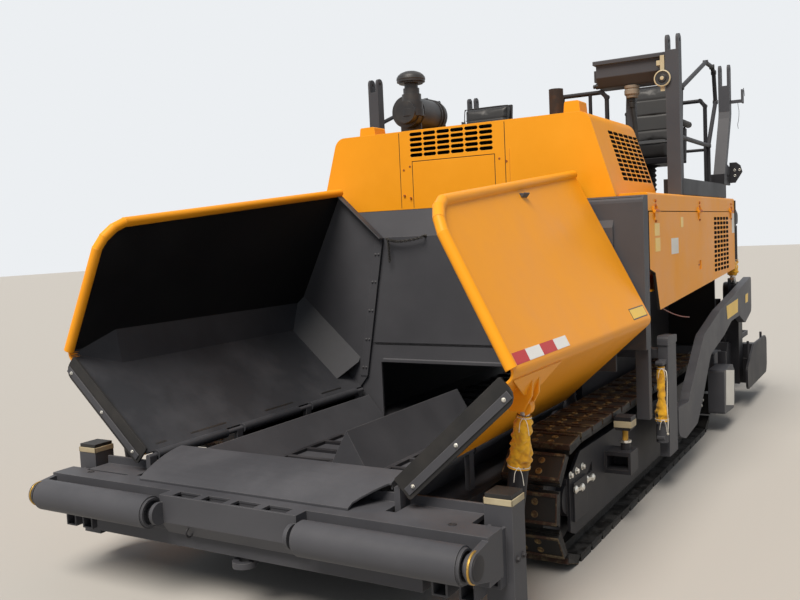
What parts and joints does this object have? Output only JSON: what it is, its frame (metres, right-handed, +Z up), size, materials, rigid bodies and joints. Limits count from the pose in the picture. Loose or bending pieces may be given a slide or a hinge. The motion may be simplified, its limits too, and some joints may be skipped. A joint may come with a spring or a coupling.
{
  "type": "tracked asphalt paver",
  "caption": "Tracked asphalt paver with a folding hopper, slat conveyors, engine housing, driver deck, tow arms, augers and an extending screed.",
  "frame": {"origin": "centre of the bounding box on the ground under the tracks", "axes": "+Z up, -Y the direction of travel, +X the machine's left side"},
  "size_m": [2.84, 7.021, 3.2],
  "materials": {
    "dark_paint": "satin enamel",
    "grey_paint": "satin enamel",
    "yellow_paint": "gloss enamel",
    "engine_iron": "painted casting",
    "black_plastic": "moulded",
    "rusty_steel": "rusted",
    "seat_vinyl": "vinyl cover",
    "worn_shoe": "worn pads",
    "black_rubber": "matt rubber",
    "bare_steel": "worn steel",
    "boot_cloth": "woven cover"
  },
  "bodies": {
    "root": {"main_frame": "dark_paint", "front_beam": "grey_paint", "bulkhead": "grey_paint", "hopper_floor": "grey_paint", "slat_conveyor": "dark_paint", "hood": "yellow_paint", "cabinet_left": "yellow_paint", "cabinet_right": "yellow_paint", "engine_block": "engine_iron", "air_filter": "black_plastic", "exhaust_pipe": "rusty_steel", "deck": "dark_paint", "seat_left": "seat_vinyl", "seat_right": "seat_vinyl", "console": "black_plastic", "posts_left": "grey_paint", "posts_right": "grey_paint", "hand_rails": "dark_paint", "track_left": "worn_shoe", "track_right": "worn_shoe", "track_frame_left": "dark_paint", "track_frame_right": "dark_paint", "tow_guide_left": "grey_paint", "tow_guide_right": "grey_paint", "auger_drive": "grey_paint"},
    "wing_left": {"wing_left": "yellow_paint", "wing_flap_left": "black_rubber"},
    "wing_barrel_left": {"wing_barrel_left": "dark_paint", "wing_boot_left": "boot_cloth"},
    "wing_rod_left": {"wing_rod_left": "bare_steel"},
    "push_roller_left": {"push_roller_left": "bare_steel"},
    "engine_door_left": {"engine_door_left": "yellow_paint"},
    "auger_left": {"auger_left": "bare_steel"},
    "extension_left": {"extension_left": "dark_paint"},
    "lift_barrel_left": {"lift_barrel_left": "dark_paint"},
    "lift_rod_left": {"lift_rod_left": "bare_steel"},
    "wing_right": {"wing_right": "yellow_paint", "wing_flap_right": "black_rubber"},
    "wing_barrel_right": {"wing_barrel_right": "dark_paint", "wing_boot_right": "boot_cloth"},
    "wing_rod_right": {"wing_rod_right": "bare_steel"},
    "push_roller_right": {"push_roller_right": "bare_steel"},
    "engine_door_right": {"engine_door_right": "yellow_paint"},
    "auger_right": {"auger_right": "bare_steel"},
    "extension_right": {"extension_right": "dark_paint"},
    "lift_barrel_right": {"lift_barrel_right": "dark_paint"},
    "lift_rod_right": {"lift_rod_right": "bare_steel"},
    "apron": {"apron": "grey_paint"},
    "screed": {"tow_arms": "grey_paint", "screed": "dark_paint", "screed_walkway": "grey_paint"}
  },
  "joints": [
    {"name": "wing_left_fold", "type": "hinge", "parent": "root", "child": "wing_left", "pos_m": [0.783, -3.1345, 0.65], "axis": [0, -1, 0], "range_deg": [-22, 28]},
    {"name": "wing_left_barrel_swing", "type": "hinge", "parent": "root", "child": "wing_barrel_left", "pos_m": [1.175, -2.8415, 0.2], "axis": [0, -1, 0], "range_deg": [-15, 17]},
    {"name": "wing_left_rod_slide", "type": "slide", "parent": "wing_barrel_left", "child": "wing_rod_left", "axis": [0.1423, 0, 0.9898], "range_m": [-0.2, 0.25], "deforming": ["wing_boot_left"]},
    {"name": "wing_right_fold", "type": "hinge", "parent": "root", "child": "wing_right", "pos_m": [-0.783, -3.1345, 0.65], "axis": [0, 1, 0], "range_deg": [-22, 28]},
    {"name": "wing_right_barrel_swing", "type": "hinge", "parent": "root", "child": "wing_barrel_right", "pos_m": [-1.175, -2.8415, 0.2], "axis": [0, 1, 0], "range_deg": [-15, 17]},
    {"name": "wing_right_rod_slide", "type": "slide", "parent": "wing_barrel_right", "child": "wing_rod_right", "axis": [-0.1423, 0, 0.9898], "range_m": [-0.2, 0.25], "deforming": ["wing_boot_right"]},
    {"name": "apron_lift", "type": "hinge", "parent": "root", "child": "apron", "pos_m": [0, -2.9445, 0.655], "axis": [-1, 0, 0], "range_deg": [0, 70]},
    {"name": "push_roller_left_spin", "type": "hinge", "parent": "root", "child": "push_roller_left", "pos_m": [0.86, -3.4305, 0.477], "axis": [1, 0, 0], "continuous": true},
    {"name": "push_roller_right_spin", "type": "hinge", "parent": "root", "child": "push_roller_right", "pos_m": [-0.86, -3.4305, 0.477], "axis": [-1, 0, 0], "continuous": true},
    {"name": "engine_door_left_lift", "type": "hinge", "parent": "root", "child": "engine_door_left", "pos_m": [1.34, 0.6355, 1.867], "axis": [0, -1, 0], "range_deg": [0, 75]},
    {"name": "engine_door_right_lift", "type": "hinge", "parent": "root", "child": "engine_door_right", "pos_m": [-1.34, 0.6355, 1.867], "axis": [0, 1, 0], "range_deg": [0, 75]},
    {"name": "auger_left_spin", "type": "hinge", "parent": "root", "child": "auger_left", "pos_m": [0.62, 1.7905, 0.42], "axis": [1, 0, 0], "continuous": true},
    {"name": "auger_right_spin", "type": "hinge", "parent": "root", "child": "auger_right", "pos_m": [-0.62, 1.7905, 0.42], "axis": [-1, 0, 0], "continuous": true},
    {"name": "screed_lift", "type": "hinge", "parent": "root", "child": "screed", "pos_m": [0, -0.5095, 0.42], "axis": [1, 0, 0], "range_deg": [-3, 2]},
    {"name": "lift_left_barrel_swing", "type": "hinge", "parent": "root", "child": "lift_barrel_left", "pos_m": [1.29, 2.2305, 1.8], "axis": [1, 0, 0], "range_deg": [-4.5, 5.5]},
    {"name": "lift_left_rod_slide", "type": "slide", "parent": "lift_barrel_left", "child": "lift_rod_left", "axis": [0, 0, -1], "range_m": [-0.11, 0.16]},
    {"name": "lift_right_barrel_swing", "type": "hinge", "parent": "root", "child": "lift_barrel_right", "pos_m": [-1.29, 2.2305, 1.8], "axis": [1, 0, 0], "range_deg": [-4.5, 5.5]},
    {"name": "lift_right_rod_slide", "type": "slide", "parent": "lift_barrel_right", "child": "lift_rod_right", "axis": [0, 0, -1], "range_m": [-0.11, 0.16]},
    {"name": "extension_left_slide", "type": "slide", "parent": "screed", "child": "extension_left", "axis": [1, 0, 0], "range_m": [0, 0.9]},
    {"name": "extension_right_slide", "type": "slide", "parent": "screed", "child": "extension_right", "axis": [-1, 0, 0], "range_m": [0, 0.9]}
  ],
  "couplings": [
    {"joint": "wing_left_barrel_swing", "follows": "wing_left_fold", "ratio": 0.5177},
    {"joint": "wing_left_rod_slide", "follows": "wing_left_fold", "m_per_rad": 0.4326},
    {"joint": "wing_right_barrel_swing", "follows": "wing_right_fold", "ratio": 0.5177},
    {"joint": "wing_right_rod_slide", "follows": "wing_right_fold", "m_per_rad": 0.4326},
    {"joint": "lift_left_barrel_swing", "follows": "screed_lift", "ratio": -1.2693},
    {"joint": "lift_left_rod_slide", "follows": "screed_lift", "m_per_rad": -2.7548},
    {"joint": "lift_right_barrel_swing", "follows": "screed_lift", "ratio": -1.2693},
    {"joint": "lift_right_rod_slide", "follows": "screed_lift", "m_per_rad": -2.7548}
  ]
}
